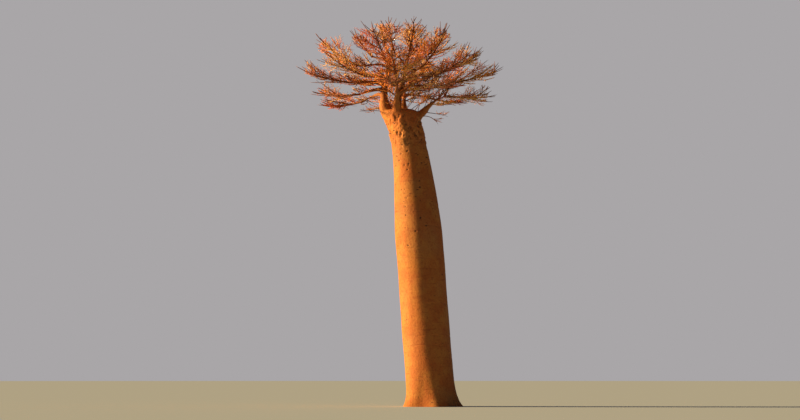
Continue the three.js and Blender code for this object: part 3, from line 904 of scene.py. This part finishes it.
# Stems and main twigs: the thicker wood of the sprays and the lone shoots. A stem grows on from its
# bough's rounded tip, in which it is rooted. Its bark is a few years older than the twigs' and a matt
# dark brown, partly its own tone and partly painted shade of the sprays around it, which draws the
# branching through them.
# Partly the stems' own bark tone, partly painted shade of the sprays around them.
STEM_BROWN_AND_SHADE = "#76421c"
STEM_SUNK = 0.25  # how far inside the bough a stem starts
STEM_COLLAR = 0.061  # its radius there, a little more than the bough's own
STEM_MESH = (10, 16)
MAIN_MESH = (6, 8)
for stem in stems:
    poles = stem["curve"].poles
    stem["curve"] = Bend(poles[0] - unit(poles[1] - poles[0]) * STEM_SUNK, poles[1], poles[2])
    stem["root"] = STEM_COLLAR
piece = joined("stems_and_main_twigs", [tubes(stems, *STEM_MESH), tubes(main_twigs, *MAIN_MESH)])
material, shader = new_material("young_limb_bark_and_shade")
shader.inputs["Base Color"].default_value = linear(STEM_BROWN_AND_SHADE)
shader.inputs["Roughness"].default_value = TWIG_ROUGHNESS
piece.data.materials.append(material)
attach(piece, "root")
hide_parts(*masses)

# Buds and short shoots: small closed knobs at the ends of twigs, red and salmon, where next season's
# leaves and flowers break. They are drawn a little larger than life, so that they tell at this distance.
BUD_TINTS = {"red_buds": "#b8452e", "salmon_buds": "#dc8a72"}
BUD_LENGTH = 0.05
BUD_RADIUS = 0.014
BUD_SHARE = 0.16  # of the twigs that end in a bud of one tint
BUD_SEED = 4
BUD_ROUGHNESS = 0.6  # their scales are smoother than bark
ASKEW = (0.3, 0.5, 0.8)  # a direction in which no twig ends


def buds(twigs):
    """A knob of eight triangles on each of these twigs' tips, as one set of points and triangles."""
    poles = np.array([twig["curve"].poles for twig in twigs])
    way = poles[:, 2] - poles[:, 1]
    way /= np.linalg.norm(way, axis=1)[:, None]
    across = np.cross(way, ASKEW)
    across /= np.linalg.norm(across, axis=1)[:, None]
    over = np.cross(way, across)
    low, high = poles[:, 2] - way * BUD_LENGTH / 2, poles[:, 2] + way * BUD_LENGTH / 2
    around = [poles[:, 2] + side * BUD_RADIUS for side in (across, over, -across, -over)]
    points = np.stack([low, high, *around], axis=1)
    faces = [(0, 2 + (k + 1) % 4, 2 + k) for k in range(4)]
    faces += [(1, 2 + k, 2 + (k + 1) % 4) for k in range(4)]
    faces = np.array(faces)[None] + 6 * np.arange(len(twigs))[:, None, None]
    return points.reshape(-1, 3), faces.reshape(-1, 3)


for number, (name, tint) in enumerate(BUD_TINTS.items()):
    low, high = number * BUD_SHARE, (number + 1) * BUD_SHARE
    tips = [twig for k, twig in enumerate(side_twigs + fine_twigs) if low <= chance(k, BUD_SEED) < high]
    piece = joined(name, [buds(tips)])
    material, shader = new_material(name)
    shader.inputs["Base Color"].default_value = linear(tint)
    shader.inputs["Roughness"].default_value = BUD_ROUGHNESS
    piece.data.materials.append(material)
    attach(piece, "root")
    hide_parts(*masses)

# Floor: plain, pale and matt, and wide enough that its edge lies near the horizon from every side. Its
# cool tone keeps it from turning orange in the warm light.
FLOOR_RADIUS = 600
FLOOR_SIDES = 96
FLOOR_TONE = "#bccfee"
bm = bmesh.new()
bmesh.ops.create_circle(bm, cap_ends=True, segments=FLOOR_SIDES, radius=FLOOR_RADIUS)
floor_mesh = bpy.data.meshes.new("floor")
bm.to_mesh(floor_mesh)
bm.free()
floor = bpy.data.objects.new("floor", floor_mesh)
bpy.context.collection.objects.link(floor)
pale, shader = new_material("pale_floor")
shader.inputs["Base Color"].default_value = linear(FLOOR_TONE)
shader.inputs["Roughness"].default_value = 1
shader.inputs["Specular IOR Level"].default_value = 0
floor_mesh.materials.append(pale)

# Light: a wide warm key from the left, a little behind and above, as the low sun in the photo, and an
# even grey surround that fills the shade.
KEY_FROM = (-1, 0.07, 0.2)
KEY_STRENGTH = 12.6
KEY_COLOUR = (1, 0.645, 0.25)
KEY_WIDTH = 9  # degrees, wide for a soft edge between light and shade
SURROUND = "#a9a6a8"
FILL = 0.175  # of the surround's brightness to the eye, that reaches the tree
key = bpy.data.lights.new("key", "SUN")
key.energy = KEY_STRENGTH
key.color = KEY_COLOUR
key.angle = math.radians(KEY_WIDTH)
key_lamp = bpy.data.objects.new("key", key)
key_lamp.rotation_euler = Vector(KEY_FROM).to_track_quat("Z", "Y").to_euler()
bpy.context.collection.objects.link(key_lamp)
world = bpy.data.worlds.new("surround")
world.use_nodes = True
sky = world.node_tree.nodes["Background"]
sky.inputs["Color"].default_value = linear(SURROUND)
seen = world.node_tree.nodes.new("ShaderNodeLightPath")
dim = world.node_tree.nodes.new("ShaderNodeMapRange")
dim.inputs["To Min"].default_value = FILL
world.node_tree.links.new(seen.outputs["Is Camera Ray"], dim.inputs["Value"])
world.node_tree.links.new(dim.outputs["Result"], sky.inputs["Strength"])
bpy.context.scene.world = world
bpy.context.scene.view_settings.view_transform = "Standard"

# Camera: at the height of an eye on the ground and far enough away to take in the whole tree, which
# it looks up at by a few degrees.
EYE_HEIGHT = 1.7
DISTANCE = 100
MARGIN = 1.07  # of the tree's height, that the picture takes in
PICTURE = (800, 420)
SIGHT = 2000  # farther than the floor's edge
low, high = (np.array(corner) for corner in cad_box)
middle = (low + high) / 2
camera = bpy.data.cameras.new("camera")
picture_width = (high[2] - low[2]) * MARGIN * PICTURE[0] / PICTURE[1]
camera.lens = camera.sensor_width * DISTANCE / picture_width
camera.clip_end = SIGHT
eye = Vector((middle[0], -DISTANCE, EYE_HEIGHT))
view = bpy.data.objects.new("camera", camera)
view.location = eye
view.rotation_euler = (Vector(middle) - eye).to_track_quat("-Z", "Y").to_euler()
bpy.context.collection.objects.link(view)
bpy.context.scene.camera = view
